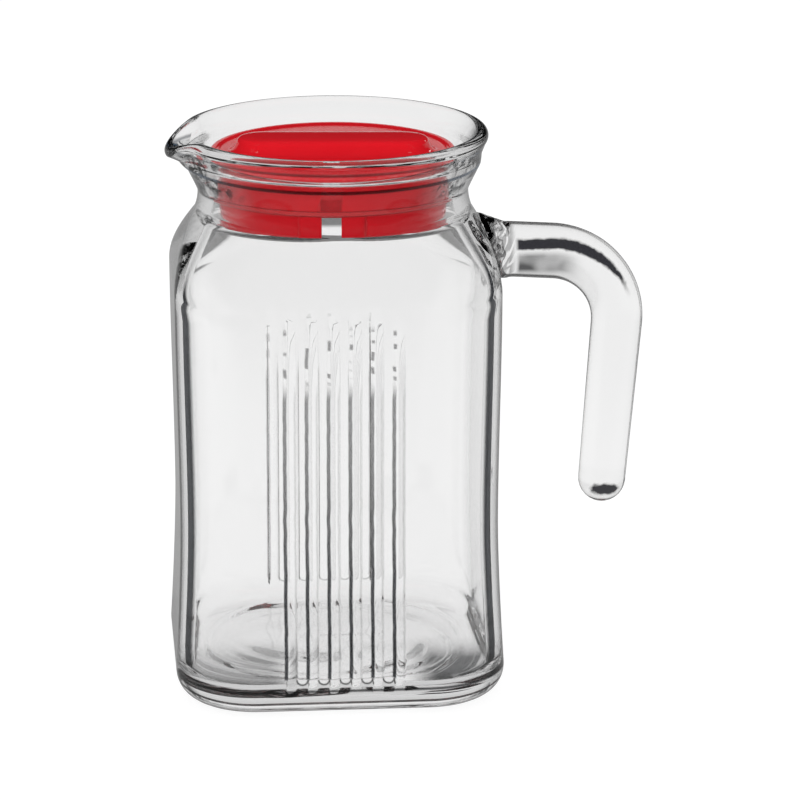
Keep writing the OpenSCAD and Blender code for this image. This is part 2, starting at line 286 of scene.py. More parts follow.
def share(value, low, high, start=0.0, end=1.0):
    """Where a value lies between low and high, eased and brought to start and end."""
    return node(value.tree, "ShaderNodeMapRange", {"interpolation_type": "SMOOTHSTEP"}, Value=value,
                From_Min=low, From_Max=high, To_Min=start, To_Max=end)["Result"]


def fade(value, low, high):
    """1 below low and 0 above high."""
    return share(value, low, high, 1.0, 0.0)


def line(distance, half, soft):
    """A stroke: 1 within half of a distance of zero, falling off over soft."""
    return fade(distance, half - soft / 2, half + soft / 2)


def away(a, b):
    """How far a point of a plane lies from its origin."""
    return (a ** 2.0 + b ** 2.0).root()


def place_mm(tree):
    """The place on a piece: x, y and z in millimetres."""
    where = node(tree, "ShaderNodeTexCoord")["Object"]
    axes = node(tree, "ShaderNodeSeparateXYZ", Vector=where)
    return [axes[name] * (1 / MM) for name in "XYZ"]


def new_material(name):
    """An empty material and its tree."""
    made = bpy.data.materials.new(name)
    made.use_nodes = True
    made.node_tree.nodes.clear()
    return made, made.node_tree


# The glass

def painted_reed_shade(tree):
    """Painted shade along the steep edges of the reeds, where they bend light away: strong at the left, faint
    at the right.
    """
    x, y, z = place_mm(tree)
    wobble = node(tree, "ShaderNodeTexNoise", {"noise_dimensions": "1D"}, W=z, Scale=0.12, Detail=1.0)["Fac"]
    x = x + (wobble * 0.5 - 0.25)
    left_edge = (REED_PITCH - REED_W) / 2
    right_edge = (REED_PITCH + REED_W) / 2

    def along(edge, half, soft):
        """Strokes along one kind of edge of every reed."""
        off = (x - (edge - PANEL_HALF)).wrapped(REED_PITCH / 2, -REED_PITCH / 2)
        return line(abs(off), half, soft)

    top = (y > 0.0) * (BACK_REED_TOP - FRONT_REED_TOP) + (FRONT_REED_TOP - REED_FADE)
    above = z - top
    solid = share(z, REED_LOW + 2.0, REED_LOW + 3.0) * fade(above, -4.0, 3.0)
    solid = solid * share(z, 40.0, 115.0, 1.0, 0.88)
    # Above the solid part the painted lines break up into beads
    cell = node(tree, "ShaderNodeCombineXYZ", X=(x / REED_PITCH).nearest(), Y=z * 0.22)["Vector"]
    drops = node(tree, "ShaderNodeTexNoise", {"noise_dimensions": "2D"}, Vector=cell, Scale=1.7,
                 Detail=0.0)["Fac"]
    window = share(above, -2.0, 4.0) * fade(above, 17.0, 20.0)
    beads = share(drops, 0.5, 0.62) * 0.86 * window
    strong = (along(left_edge + 0.1, 0.55, 0.4) * solid).or_more(along(left_edge + 0.3, 0.5, 0.5) * beads)
    faint = along(right_edge - 0.3, 0.3, 0.6) * solid * 0.45
    lines = strong.or_more(faint) * (abs(x + 0.9) < PANEL_HALF - 0.4)
    # The low ends: a painted dark arc round the foot of each gap
    down = z - (REED_LOW + 2.6)
    arc = line(abs(away(x.wrapped(REED_PITCH / 2, -REED_PITCH / 2), down) - 1.7), 0.28, 0.3) * (down < 0.0)
    arc = arc * (abs(x) < PANEL_HALF + 0.2 - REED_PITCH / 2) * 0.97
    skin = SHOULDER_W / 2 - 3.0
    return lines.or_more(arc) * ((y < -skin) + (y > skin))


def painted_floor_shade(tree):
    """Painted shade where the cords of gathered glass swirl round the corners of the floor, darkest at the
    handle's side.
    """
    x, y, z = place_mm(tree)
    turn = y.angle(x)
    drawn = node(tree, "ShaderNodeCombineXYZ", X=turn * 9.0 + away(x, y), Y=turn * 2.0)["Vector"]
    cords = node(tree, "ShaderNodeTexNoise", {"noise_dimensions": "2D"}, Vector=drawn, Scale=0.5, Detail=3.0,
                 Distortion=0.6)["Fac"]
    place = share(abs(x - 3.0), 15.0, 27.0) * fade(y, -22.0, 2.0)
    place = place * fade(z, FLOOR_T + 2.5, FLOOR_T + FLOOR_R + 1.5) * share(x, -10.0, 10.0, 0.85, 1.0)
    return share(cords, 0.36, 0.52, 0.7, 0.997) * place


def painted_handle_streaks(tree):
    """Painted dark streaks of shade in the thick rod: along the arm into the bend, in the fused root and at
    the tip.
    """
    x, y, z = place_mm(tree)
    where = node(tree, "ShaderNodeTexCoord")["Object"]
    ragged = node(tree, "ShaderNodeTexNoise", Vector=where, Scale=420.0, Detail=2.0)["Fac"]
    soft = node(tree, "ShaderNodeTexNoise", Vector=where, Scale=110.0, Detail=1.0)["Fac"]
    round_bend = (x - BEND_X).or_more(0.0)
    over_bend = z - BEND_Z
    off = away(round_bend, over_bend) - BEND_R
    turn = round_bend.angle(over_bend)
    # The painted streak drifts from the middle of the arm to the outside of the bend and thins out
    middle = ragged * 1.2 + share(turn, 0.1, 1.2, 3.3, 3.9)
    stray = abs(off - middle) - share(turn, 0.35, 1.3, 1.3, 0.1)
    streak = fade(stray, -0.1, 0.9) * share(x, ARM_X - 0.4, ARM_X + 1.2) * fade(turn, 1.0, 1.3)
    # Under it lies a softer painted grey
    under = share(off, -7.5, -4.0) * fade(off, 0.0, 2.5) * share(soft, 0.36, 0.6, 0.7, 0.99)
    under = under * share(x, ARM_X, ARM_X + 1.6) * fade(x, ARM_X + 12.0, ARM_X + 23.0)
    arm = streak.or_more(under) * fade(y, -1.5, 0.5) * (over_bend > 0.0)
    # The painted dark spot in the tip
    off_spot = away((x - TIP_SPOT_X) / 4.6, (z - TIP_SPOT_Z) / 2.3) + ragged * 0.8
    tip = fade(off_spot, 1.1, 1.6) * fade(y, -1.0, 0.0)
    # Painted shade in the folds of the fused root runs slantwise
    slant = node(tree, "ShaderNodeCombineXYZ", X=x - z * 0.45, Y=y * 0.5, Z=z * 0.16)["Vector"]
    folds = node(tree, "ShaderNodeTexNoise", Vector=slant, Scale=0.6, Detail=2.0, Distortion=0.8)["Fac"]
    root = share(folds, 0.42, 0.56, 0.05, 0.75) * fade(x, ARM_X - 1.5, ARM_X + 0.8)
    return arm.or_more(tip).or_more(root)


def painted_outside_shade(tree):
    """Painted shade on the outside: along its rims, on the thick collar and heel, and on the crease, the
    groove and the line above the foot.
    """
    x, y, z = place_mm(tree)
    r = away(x, y)
    facing = node(tree, "ShaderNodeLayerWeight", Blend=0.5)["Facing"]
    leaving = node(tree, "ShaderNodeNewGeometry")["Backfacing"]
    # Painted shade on the far wall, met from within the glass, is left out
    entering = 1.0 - leaving
    groove_z = RIM_Z - 2 * BEAD_R
    on_lip = r > CREASE_R - 0.8
    # Painted shade along the crease under the lip, the groove under the bead and the line above the foot
    crease = line(abs(z - (CREASE_Z + 0.7)), 0.62, 0.5) * 0.98
    groove = line(abs(z - groove_z), 0.5, 0.8) * 0.85
    crease_and_groove_shade = crease.or_more(groove) * on_lip * entering
    foot = line(abs(z - FOOT_LINE_Z), 0.5, 0.6) * (r > BASE_W / 2 - FOOT_R) * entering * 0.985
    reeds = painted_reed_shade(tree) * (1.0 - leaving * 0.4)
    # Painted shade at the rims, and at the bead of the lip, which is darker
    rim = share(facing, 0.6, 0.92) * 0.88
    bead = share(facing, 0.6, 0.8) * ((z > CREASE_Z - 3) * on_lip)
    # The thick glass of the collar and the heel gets painted dark flecks, standing in for its reflections
    where = node(tree, "ShaderNodeTexCoord")["Object"]
    flecks = node(tree, "ShaderNodeTexNoise", Vector=where, Scale=210.0, Detail=3.0, Distortion=1.5)["Fac"]
    flecks = share(flecks, 0.42, 0.58, 0.45, 0.99)
    skin = r - share(z, CREASE_Z, CREASE_Z + 1.5, BORE_R + NECK_T - 0.5, CREASE_R - 0.8)
    collar = share(z, CREASE_Z - 8, CREASE_Z - 3) * fade(z, groove_z - 0.5, groove_z + 0.5) * (skin > 0.0)
    heel = fade(z, FOOT_LINE_Z, 24.0) * share(z, 2.0, 4.0)
    thick = (share(facing, 0.34, 0.52) * collar * flecks).or_more(share(facing, 0.4, 0.6) * heel * flecks)
    dark = rim.or_more(bead).or_more(thick * entering).or_more(crease_and_groove_shade).or_more(reeds).or_more(foot)
    # The painted shade is near black, and dark blue on the crease and the groove
    tone = node(tree, "ShaderNodeMix", {"data_type": "RGBA"}, Factor=crease_and_groove_shade, A=linear("#0B0C0E"),
                B=linear("#14202E"))["Result"]
    return dark, tone, GLASS_IOR


def painted_inside_shade(tree):
    """Painted shade where light leaves the wall near the angle at which it would be thrown back, and on the
    floor's cords.
    """
    z = place_mm(tree)[2]
    facing = node(tree, "ShaderNodeLayerWeight", Blend=0.5)["Facing"]
    geometry = node(tree, "ShaderNodeNewGeometry")
    normal = node(tree, "ShaderNodeSeparateXYZ", Vector=geometry["Normal"])
    shoulder_top = SIDE_H + SHOULDER_RISE
    steep = share(facing - share(z, SIDE_H - 4, SIDE_H + 8, 0.0, 0.026), 0.185, 0.222)
    steep = steep * fade(facing, 0.256, 0.264) * share(z, FLOOR_T + 1, FLOOR_T + FLOOR_R)
    steep = steep * fade(z, shoulder_top - 4, shoulder_top)
    # The flat of a wall stays clear, also seen from high up; only its corners get painted shade
    bent = abs(normal["X"]).or_less(abs(normal["Y"]))
    dark = steep * share(bent, 0.12, 0.3) * geometry["Backfacing"]
    return dark.or_more(painted_floor_shade(tree)), linear("#0B0C0E"), share(dark, 0.0, 1.0, GLASS_IOR, 1.02)


def painted_handle_shade(tree):
    """Painted shade on the handle: at its rims and along its painted streaks, seen from the near side."""
    facing = node(tree, "ShaderNodeLayerWeight", Blend=0.5)["Facing"]
    entering = 1.0 - node(tree, "ShaderNodeNewGeometry")["Backfacing"]
    rim = share(facing, 0.6, 0.95) * 0.8
    return rim.or_more(painted_handle_streaks(tree) * entering), linear("#060608"), GLASS_IOR


# Soda-lime glass, blown in a mould and fire polished. It is clear and bends light
# strongly; the eye reads it by its dark edges, where light runs along the wall,
# and by the dark lines along the steep edges of the reeds. These dark edges and lines are painted into the
# glass's colour as shade.
GLASS_IOR = 1.5


def glass(name, darkness):
    made, tree = new_material(name)
    dark, tone, ior = darkness(tree)
    # The glass's colour turns to the dark tone where shade is painted
    colour = node(tree, "ShaderNodeMix", {"data_type": "RGBA"}, Factor=dark, A=linear("#F7F7F7"),
                  B=tone)["Result"]
    body = node(tree, "ShaderNodeBsdfPrincipled", Base_Color=colour, Roughness=0.0, IOR=ior,
                Transmission_Weight=1.0)["BSDF"]
    clear = node(tree, "ShaderNodeBsdfTransparent", Color=linear("#F7F7F8"))["BSDF"]
    shadow = node(tree, "ShaderNodeLightPath")["Is Shadow Ray"]
    mixed = node(tree, "ShaderNodeMixShader", Fac=shadow, Shader=body, Shader__1=clear)["Shader"]
    node(tree, "ShaderNodeOutputMaterial", Surface=mixed)
    return made


# Polyethylene, injection moulded in a polished mould. A full red with a soft gloss.
def lid_plastic():
    made, tree = new_material("gloss_red_polyethylene")
    where = node(tree, "ShaderNodeTexCoord")["Object"]
    mottle = node(tree, "ShaderNodeTexNoise", Vector=where, Scale=60.0, Detail=3.0)["Fac"]
    colour = node(tree, "ShaderNodeMix", {"data_type": "RGBA"}, Factor=mottle, A=linear("#CB1822"),
                  B=linear("#C2141F"))["Result"]
    skin = node(tree, "ShaderNodeTexNoise", Vector=where, Scale=200.0, Detail=2.0)["Fac"]
    body = node(tree, "ShaderNodeBsdfPrincipled", Base_Color=colour, IOR=1.45, Specular_IOR_Level=0.35,
                Roughness=share(skin, 0.3, 0.7, 0.08, 0.13))["BSDF"]
    node(tree, "ShaderNodeOutputMaterial", Surface=body)
    return made


# Soft thermoplastic rubber, moulded. The same red, duller and a little darker.
def ring_rubber():
    made, tree = new_material("satin_red_rubber")
    where = node(tree, "ShaderNodeTexCoord")["Object"]
    grain = node(tree, "ShaderNodeTexNoise", Vector=where, Scale=1400.0, Detail=2.0)["Fac"]
    colour = node(tree, "ShaderNodeMix", {"data_type": "RGBA"}, Factor=grain, A=linear("#C4262B"),
                  B=linear("#B51D23"))["Result"]
    bump = node(tree, "ShaderNodeBump", Strength=0.08, Distance=0.0002, Height=grain)["Normal"]
    body = node(tree, "ShaderNodeBsdfPrincipled", Base_Color=colour, Roughness=0.45, IOR=1.5,
                Normal=bump)["BSDF"]
    node(tree, "ShaderNodeOutputMaterial", Surface=body)
    return made


GLASS_OUTSIDE = glass("fire_polished_glass", painted_outside_shade)
GLASS_HANDLE = glass("drawn_rod_glass", painted_handle_shade)
GLASS_INSIDE = glass("fire_polished_glass_inside", painted_inside_shade)
LID_RED = lid_plastic()
RING_RED = ring_rubber()


# The jug

def eased(t):
    """From 0 to 1 with a level start and end."""
    return t ** 2 * (3 - 2 * t)


def side_half(z):
    """Half the width over the flat sides at a height."""
    low = (BASE_W - WAIST_W) / 2 * (np.maximum(WAIST_H - z, 0) / WAIST_H) ** 1.5
    up = np.clip((z - WAIST_H) / (SIDE_H - WAIST_H), 0, 1)
    return WAIST_W / 2 + low + (SHOULDER_W - WAIST_W) / 2 * eased(up)


def square_reach(angles, half, corner):
    """Distance from the axis to a rounded square."""
    c, s = np.abs(np.cos(angles)), np.abs(np.sin(angles))
    big, small = np.maximum(c, s), np.minimum(c, s)
    k = half - corner
    round_part = k * (big + small) + np.sqrt(np.maximum(0, corner ** 2 - (k * (big - small)) ** 2))
    return np.where(half * small <= k * big, half / big, round_part)


# Places across a panel where a column of points runs up: close on the flanks of each reed
FLANK = np.array([0.25, 0.48, 0.66, 0.8, 0.9, 0.97, 1.02, 1.2])
FLANKS = np.concatenate([-FLANK[::-1], [0], FLANK])
PANEL_X = np.concatenate([(i - (REED_COUNT - 1) / 2) * REED_PITCH + FLANKS * REED_W / 2
                          for i in range(REED_COUNT)])
# Columns on each side, between the panels
SIDE_COLUMNS = 94


def columns(half):
    """Angles of the upright columns, so that those on the panels stay at the same x."""
    reach = np.arctan(PANEL_X / half)
    front = -np.pi / 2 + reach
    back = np.pi / 2 + reach
    right = np.linspace(front[-1], back[0], SIDE_COLUMNS + 2)[1:-1]
    left = np.linspace(back[-1], front[0] + 2 * np.pi, SIDE_COLUMNS + 2)[1:-1]
    return np.concatenate([front, right, back, left])


# The columns from the top of the sides up
TOP_ANGLES = columns(side_half(SIDE_H))


def square_ring(half, corner, z, columns_half=None):
    """A rounded square ring; its columns follow the outside's half width where that is given."""
    angles = columns(half if columns_half is None else columns_half)
    return ring(square_reach(angles, half, corner), z, angles)


def shoulder_ring(u, inset=0.0):
    """A ring of the shoulder, from the body at 0 to the foot of the neck at 1."""
    half = SHOULDER_W / 2 - (SHOULDER_W / 2 - BORE_R - NECK_FLARE - NECK_FOOT_T) * u ** SHOULDER_POWER
    corner = CORNER_R + (half - CORNER_R) * u ** CORNER_POWER
    reach = square_reach(TOP_ANGLES, half - inset, corner - inset)
    return ring(reach, SIDE_H + SHOULDER_RISE * u, TOP_ANGLES)


def spout_share(angles):
    """How much of the spout there is at an angle: 1 in its middle, 0 outside it."""
    off = np.degrees(np.abs((angles % (2 * np.pi)) - np.pi))
    return np.where(off < SPOUT_HALF_ANGLE, np.cos(np.pi / 2 * off / SPOUT_HALF_ANGLE) ** 2, 0.0)


def lip_rings():
    """The lip, from the crease over the bead and down to the ledge and the bore."""
    s = spout_share(TOP_ANGLES)
    bead_x = BEAD_RING_R + SPOUT_REACH * s
    bead_z = RIM_Z - BEAD_R - SPOUT_DROP * s
    ledge = LEDGE_Z - CHANNEL_DEPTH * s
    band = (CREASE_R + BAND_OUT + SPOUT_REACH * s / 2, CREASE_Z + BAND_RISE * (1 - s / 2))
    out = []
    for t in (0.12, 0.3, 0.55, 0.8, 1.0):
        out.append((CREASE_R + (band[0] - CREASE_R) * t ** 0.5, CREASE_Z + (band[1] - CREASE_Z) * t))
    for a in np.radians(np.arange(-40, 176, 12)):
        out.append((bead_x + BEAD_R * np.cos(a), bead_z + BEAD_R * np.sin(a)))
    # The inside of the lip is an arc through a middle point a little below the straight line
    start = (bead_x - BEAD_R, bead_z)
    end = (LEDGE_R, ledge)
    middle = (LEDGE_R + (start[0] - LEDGE_R) / 3, LEDGE_Z + (bead_z - LEDGE_Z) / 4 - CHANNEL_DEPTH * s / 2)
    for t in (0.2, 0.4, 0.6, 0.8, 0.93):
        out.append(tuple((1 - t) ** 2 * start[k] + 2 * t * (1 - t) * (2 * middle[k] - (start[k] + end[k]) / 2)
                         + t ** 2 * end[k] for k in (0, 1)))
    for r, down in ((LEDGE_R - 0.15, 0), (LEDGE_R - 1.2, 0), (BORE_R + 0.7, 0), (BORE_R + 0.3, 0.06),
                    (BORE_R + 0.08, 0.25), (BORE_R, 0.7), (BORE_R, 1.8)):
        out.append((r, ledge - down))
    return [ring(r, z, TOP_ANGLES) for r, z in out]


# How many of the lip's last rings belong to the inside
LEDGE_RINGS = 8


def floor_lift(x, y):
    """Swirls and a ring that the gathered glass leaves on the inner floor."""
    reach = np.hypot(x, y)
    r = reach / 44
    a = np.arctan2(y, x)
    swirl = 0.45 * np.sin(3 * a + 7 * r) + 0.3 * np.sin(5 * a - 9 * r + 1) + 0.2 * np.sin(2 * a + 15 * r)
    swirl *= np.clip(r * 1.4, 0, 1) * np.clip((1.1 - r) * 3, 0, 1)
    fold = np.exp(-((reach - 41.3) / 0.9) ** 2)
    streaks = np.sin(0.85 * reach + 5 * a) * np.exp(-((reach - 33) / 8) ** 2)
    sides = np.clip(-np.sin(a) * 2, 0, 1) * np.clip(np.abs(np.cos(a)) * 1.8, 0, 1) * (1 + 0.4 * np.sign(x))
    return 1.4 * (1 - r ** 2) + 0.7 * swirl + 0.5 * fold + 0.32 * streaks * sides


def outside_rings():
    """Rings from the middle of the foot up to the crease under the lip."""
    foot_half = side_half(0) - FOOT_R
    foot_rise = 0.7
    rings = [square_ring(foot_half * k, (CORNER_R - FOOT_R) * k, foot_rise * (1 - k ** 4), side_half(0))
             for k in (0.12, 0.4, 0.7, 0.88)]
    for t in np.radians(np.linspace(0, 90, 13)):
        z, tuck = FOOT_R * (1 - np.cos(t)), FOOT_R * (1 - np.sin(t))
        rings.append(square_ring(side_half(z) - tuck, CORNER_R - tuck, z, side_half(z)))
    # Close levels where the reeds start and where they fade, wide ones between
    levels = (np.arange(10.2, 13, 0.5), np.arange(14, 84, 4.0), np.arange(84, SIDE_H, 1.9), [SIDE_H])
    rings += [square_ring(side_half(z), CORNER_R, z) for z in np.concatenate(levels)]
    rings += [shoulder_ring(u) for u in np.linspace(0, 1, 19)[1:]]
    foot_out, foot_z = BORE_R + NECK_FLARE + NECK_FOOT_T, SIDE_H + SHOULDER_RISE
    neck_r = BORE_R + NECK_T
    neck = curve([(foot_out, foot_z), ((foot_out + 3 * neck_r) / 4, (foot_z + NECK_Z) / 2), (neck_r, NECK_Z),
                  ((5 * neck_r + CREASE_R) / 6, (3 * NECK_Z + CREASE_Z) / 4), (CREASE_R, CREASE_Z)], 5)
    return rings + [ring(r, z, TOP_ANGLES) for r, z in neck[1:]]


def inside_rings():
    """Rings from the bore down the throat, the shoulder and the wall to the middle of the floor."""
    foot_z = SIDE_H + SHOULDER_RISE
    throat = curve([(BORE_R, CREASE_Z - 2), (BORE_R, foot_z + 6.5), (BORE_R + 0.25, foot_z + 4),
                    (BORE_R + 0.65, foot_z + 2), (BORE_R + THROAT_FLARE, foot_z)], 4)
    rings = [ring(r, z, TOP_ANGLES) for r, z in throat]
    # The glass thickens from the wall to the foot of the neck
    more = NECK_FLARE + NECK_FOOT_T - THROAT_FLARE - WALL_T
    rings += [shoulder_ring(u, WALL_T + more * eased(u)) for u in np.linspace(1, 0, 15)[1:]]
    for z in np.linspace(SIDE_H, FLOOR_T + FLOOR_R, 22)[1:]:
        rings.append(square_ring(side_half(z) - WALL_T, CORNER_R - WALL_T, z, side_half(z)))
    for t in np.radians(np.linspace(90, 0, 9)[1:]):
        z, inset = FLOOR_T + FLOOR_R * (1 - np.cos(t)), WALL_T + FLOOR_R * (1 - np.sin(t))
        rings.append(square_ring(side_half(z) - inset, CORNER_R - inset, z, side_half(z)))
    edge = rings[-1]
    for k in np.linspace(1, 0.04, 40)[1:]:
        flat = edge * [k, k, 1]
        flat[:, 2] += floor_lift(flat[:, 0], flat[:, 1])
        rings.append(flat)
    return rings


def reed_tree():
    """Geometry Nodes that push the outer skin out along the reeds of both panels."""
    tree = bpy.data.node_groups.new("reeds", "GeometryNodeTree")
    face = tree.interface
    face.new_socket("Geometry", in_out="INPUT", socket_type="NodeSocketGeometry")
    sizes = {"Count": float(REED_COUNT), "Pitch": REED_PITCH * MM, "Width": REED_W * MM,
             "Height": REED_OUT * MM, "Low End": REED_LOW * MM, "Front Top": FRONT_REED_TOP * MM,
             "Back Top": BACK_REED_TOP * MM, "Fade": REED_FADE * MM, "Steepness": REED_STEEPNESS,
             "Bead Spacing": REED_BEAD * MM}
    for name in sizes:
        face.new_socket(name, in_out="INPUT", socket_type="NodeSocketFloat")
    for name in ("Outside", "Inside"):
        face.new_socket(name, in_out="INPUT", socket_type="NodeSocketMaterial")
    face.new_socket("Geometry", in_out="OUTPUT", socket_type="NodeSocketGeometry")
    given = node(tree, "NodeGroupInput")
    axes = node(tree, "ShaderNodeSeparateXYZ", Vector=node(tree, "GeometryNodeInputPosition")["Position"])
    x, y, z = axes["X"], axes["Y"], axes["Z"]
    outer = node(tree, "GeometryNodeInputNamedAttribute", {"data_type": "FLOAT"}, Name="outer")["Attribute"]
    # Across a reed: a round back, leaning a little to one side
    last = given["Count"] - 1.0
    half_count = last * 0.5
    place = (x / given["Pitch"] + half_count).nearest().or_more(0.0).or_less(last)
    middle = (place - half_count) * given["Pitch"]
    across = ((x - middle) / given["Width"] + 0.5).clamped()
    swell = (across ** given["Steepness"] * np.pi).sine().or_more(0.0) ** REED_ROUNDNESS
    # Along it: rounded at the low end, fading out in beads at the top
    top = (y > 0.0) * (given["Back Top"] - given["Front Top"]) + given["Front Top"]
    left = ((top - z) / given["Fade"]).clamped()
    beads = (z * (2 * np.pi) / given["Bead Spacing"]).sine() * ((1.0 - left) * REED_BEAD_DEPTH) + 1.0
    rise = ((z - given["Low End"]) / (given["Width"] * 0.6)).clamped()
    rounded = (rise * (2.0 - rise)).root()
    reach = swell * (left * beads) * rounded * given["Height"] * outer * (abs(y) > abs(x))
    offset = node(tree, "ShaderNodeCombineXYZ", Y=reach * y.sign())["Vector"]
    moved = node(tree, "GeometryNodeSetPosition", Geometry=given["Geometry"], Offset=offset)["Geometry"]
    real = node(tree, "GeometryNodeRealizeInstances", Geometry=moved)["Geometry"]
    lined = node(tree, "GeometryNodeSetMaterial", Geometry=real, Material=given["Inside"])["Geometry"]
    chosen = node(tree, "FunctionNodeCompare", {"data_type": "FLOAT"}, A=outer, B=0.5)["Result"]
    done = node(tree, "GeometryNodeSetMaterial", Geometry=lined, Selection=chosen, Material=given["Outside"])
    node(tree, "NodeGroupOutput", Geometry=done["Geometry"])
    return tree, sizes


def handle_rings():
    """Rings along the handle, from the fused root inside the wall to the rounded tip."""
    sides = np.linspace(0, 2 * np.pi, 56, endpoint=False)

    def across(x, z, turn, thick, wide, grow=1.0):
        """An oval ring across the handle's middle line."""
        d = thick / 2 * np.sin(sides) * grow
        return np.column_stack([x + d * np.sin(turn), wide / 2 * np.cos(sides) * grow, z + d * np.cos(turn)])

    def crumpled(way):
        """How much wider or narrower the folds of the root make a ring."""
        seed = 6 * way
        knobs = (np.sin(3 * sides + 1.7 * seed) + 0.7 * np.sin(7 * sides - 2.3 * seed)
                 + 0.5 * np.sin(11 * sides + 3.1 * seed))
        return 1 + ROOT_CRUMPLE * np.sin(np.pi * min(1, 1.15 * way)) ** 0.5 * knobs

    rings = []
    for way in np.linspace(0, 1, 21):
        left = (1 - way) ** 2
        x, z = ROOT_X + (ARM_X - ROOT_X) * way, ARM_Z + ROOT_RISE * left
        thick, wide = ARM_T + ROOT_MORE_T * left, ARM_W + ROOT_MORE_W * left
        grow = crumpled(way) if way < 0.86 else 1.0
        rings.append(across(x, z, np.radians(ROOT_LEAN) * left, thick, wide, grow))
    for k in np.linspace(0, 1, 45):
        a = TURN_START + (TURN_END - TURN_START) * k
        rings.append(across(BEND_X + BEND_R * np.sin(a), BEND_Z + BEND_R * np.cos(a), a,
                            ARM_T + (GRIP_T - ARM_T) * k, ARM_W + (GRIP_W - ARM_W) * k))
    end_x = BEND_X + BEND_R * np.sin(TURN_END)
    end_z = BEND_Z + BEND_R * np.cos(TURN_END)
    lean = np.radians(GRIP_LEAN)
    straight = (end_z - TIP_Z - TIP_D / 2) / np.cos(lean)

    def down(d, thick, wide):
        """A ring across the straight grip, a distance from the bend."""
        return across(end_x - d * np.sin(lean), end_z - d * np.cos(lean), TURN_END, thick, wide)

    for k in np.linspace(0, 1, 19)[1:]:
        rings.append(down(straight * k, GRIP_T + (TIP_D - GRIP_T) * k, GRIP_W + (TIP_D - GRIP_W) * k))
    for a in np.radians([12, 24, 36, 48, 60, 70, 79, 86]):
        rings.append(down(straight + TIP_D / 2 * np.sin(a), TIP_D * np.cos(a), TIP_D * np.cos(a)))
    return rings


def make_jug():
    outside, lip = outside_rings(), lip_rings()
    points, faces = loft(outside + lip + inside_rings())
    jug = make_object("jug_glass", points, faces)
    outer = np.zeros(len(points))
    outer[:(len(outside) + len(lip) - LEDGE_RINGS) * len(TOP_ANGLES)] = 1.0
    jug.data.attributes.new("outer", "FLOAT", "POINT").data.foreach_set("value", outer)
    tree, sizes = reed_tree()
    given = sizes | {"Outside": GLASS_OUTSIDE, "Inside": GLASS_INSIDE}
    reeds = jug.modifiers.new("reeds", "NODES")
    reeds.node_group = tree
    for item in tree.interface.items_tree:
        if item.in_out == "INPUT" and item.name in given:
            reeds[item.identifier] = given[item.name]
    apply_modifiers(jug)
    points, faces = loft(handle_rings())
    handle = make_object("handle_glass", points, [tuple(reversed(f)) for f in faces])
    handle.data.materials.append(GLASS_HANDLE)
    combine(jug, handle, "UNION")
    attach(jug, "jug")
    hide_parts("jug_base", "jug_wall", "jug_shoulder", "jug_neck", "jug_lip", "front_reeds",
                "back_reeds", "handle_root", "handle")


# The lid

LID_COLUMNS = 240
LID_ANGLES = (np.arange(LID_COLUMNS) + 0.5) / LID_COLUMNS * 2 * np.pi


def grip_ring(inset, z):
    """The grip's outline with its rounded ends, moved inwards; its points lie evenly along it."""
    run = (GRIP_LEN - LID_GRIP_W) / 2
    r = LID_GRIP_W / 2 - inset
    points = np.column_stack([np.sign(np.cos(LID_ANGLES)) * run + r * np.cos(LID_ANGLES),
                              r * np.sin(LID_ANGLES), np.full(LID_COLUMNS, z)])
    closed = np.vstack([points, points[:1]])
    along = np.concatenate([[0], np.cumsum(np.hypot(*np.diff(closed[:, :2], axis=0).T))])
    want = (np.arange(LID_COLUMNS) + 0.5) / LID_COLUMNS * along[-1]
    return np.column_stack([np.interp(want, along, closed[:, k]) for k in range(3)])


def grip_rings():
    """Rings from the middle of the grip's top, over its rounded edge, down to the flange."""
    crown = GRIP_DRAFT + GRIP_EDGE_R
    rings = [grip_ring(crown + (LID_GRIP_W / 2 - crown) * (1 - k), GRIP_TOP_Z - GRIP_CROWN * k ** 4)
             for k in (0.02, 0.25, 0.5, 0.75, 0.92)]
    for t in np.radians([90, 75, 60, 45, 30, 18, 8]):
        rings.append(grip_ring(GRIP_DRAFT + GRIP_EDGE_R * (1 - np.cos(t)),
                               GRIP_TOP_Z - GRIP_CROWN - (GRIP_EDGE_R - GRIP_CROWN) * (1 - np.sin(t))))
    # The sides lean out and end in a small fillet
    for out, up in ((0.35, 2.2), (0.75, 1.4), (1.3, 0.7), (1.9, 0.25), (2.7, 0.03), (GRIP_DRAFT + 0.2, 0)):
        rings.append(grip_ring(GRIP_DRAFT - out, FLANGE_Z + up))
    return rings


